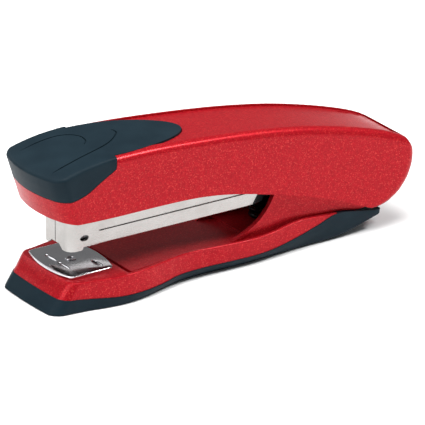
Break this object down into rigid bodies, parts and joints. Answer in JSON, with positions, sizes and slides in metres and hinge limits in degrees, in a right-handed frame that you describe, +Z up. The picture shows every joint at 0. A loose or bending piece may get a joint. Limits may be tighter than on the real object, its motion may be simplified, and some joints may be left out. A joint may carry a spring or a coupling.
{
  "type": "stapler",
  "caption": "Half-strip desk stapler: sprung cover with soft thumb pad, steel magazine with follower, and a moulded base with a turning anvil.",
  "frame": {"origin": "middle of the foot's underside, under the middle of the overall length and width", "axes": "+X from the nose towards the hinge, +Y across the stapler, +Z up"},
  "size_m": [0.1404, 0.0388, 0.049],
  "materials": {
    "red_shell": "red fine metallic flake lacquer on moulded ABS",
    "soft_black": "satin blue-black soft-touch rubber",
    "black_plastic": "moulded black plastic",
    "nickel_steel": "bright nickel plating on pressed steel",
    "chrome_plate": "polished chrome plating",
    "zinc_steel": "zinc-plated steel",
    "spring_steel": "drawn spring steel wire",
    "staple_wire": "galvanised staple wire"
  },
  "bodies": {
    "base": {"base_shell": "red_shell", "base_foot": "soft_black", "hinge_bracket": "red_shell", "bracket_screws": "zinc_steel", "foot_screws": "zinc_steel", "hinge_pin": "zinc_steel", "return_spring": "spring_steel", "anvil_spring": "spring_steel"},
    "anvil_lift": {"anvil_button": "black_plastic"},
    "anvil": {"anvil_plate": "chrome_plate", "anvil_rivet": "chrome_plate"},
    "magazine": {"magazine_housing": "nickel_steel", "staple_rail": "zinc_steel", "guide_rod": "zinc_steel", "magazine_end_cap": "black_plastic", "staple_strip": "staple_wire", "follower_spring": "spring_steel", "cover_spring": "spring_steel"},
    "follower": {"follower": "zinc_steel"},
    "cover": {"cover_shell": "red_shell", "thumb_pad": "soft_black", "handle_frame": "zinc_steel", "driver_blade": "zinc_steel", "driver_rivets": "zinc_steel", "frame_screws": "zinc_steel"}
  },
  "joints": [
    {"name": "magazine_hinge", "type": "hinge", "parent": "base", "child": "magazine", "pos_m": [0.0546, 0, 0.0234], "axis": [0, 1, 0], "range_deg": [-2.6, 20], "stiffness_Nm_per_rad": 4, "springref_deg": 0.69, "deforming": ["return_spring"]},
    {"name": "cover_hinge", "type": "hinge", "parent": "magazine", "child": "cover", "pos_m": [0.0546, 0, 0.0234], "axis": [0, 1, 0], "range_deg": [-3.4, 60], "stiffness_Nm_per_rad": 2, "springref_deg": 0.69, "deforming": ["cover_spring"]},
    {"name": "follower_slide", "type": "slide", "parent": "magazine", "child": "follower", "axis": [1, 0, 0], "range_m": [0, 0.016], "stiffness_N_per_m": 40, "springref_m": -0.03, "deforming": ["follower_spring"]},
    {"name": "anvil_lift_slide", "type": "slide", "parent": "base", "child": "anvil_lift", "axis": [0, 0, 1], "range_m": [0, 0.0014], "stiffness_N_per_m": 800, "springref_m": -0.002, "deforming": ["anvil_spring"]},
    {"name": "anvil_turn", "type": "hinge", "parent": "anvil_lift", "child": "anvil", "pos_m": [-0.0529, 0, 0.0105], "axis": [0, 0, 1], "range_deg": [0, 180]}
  ]
}
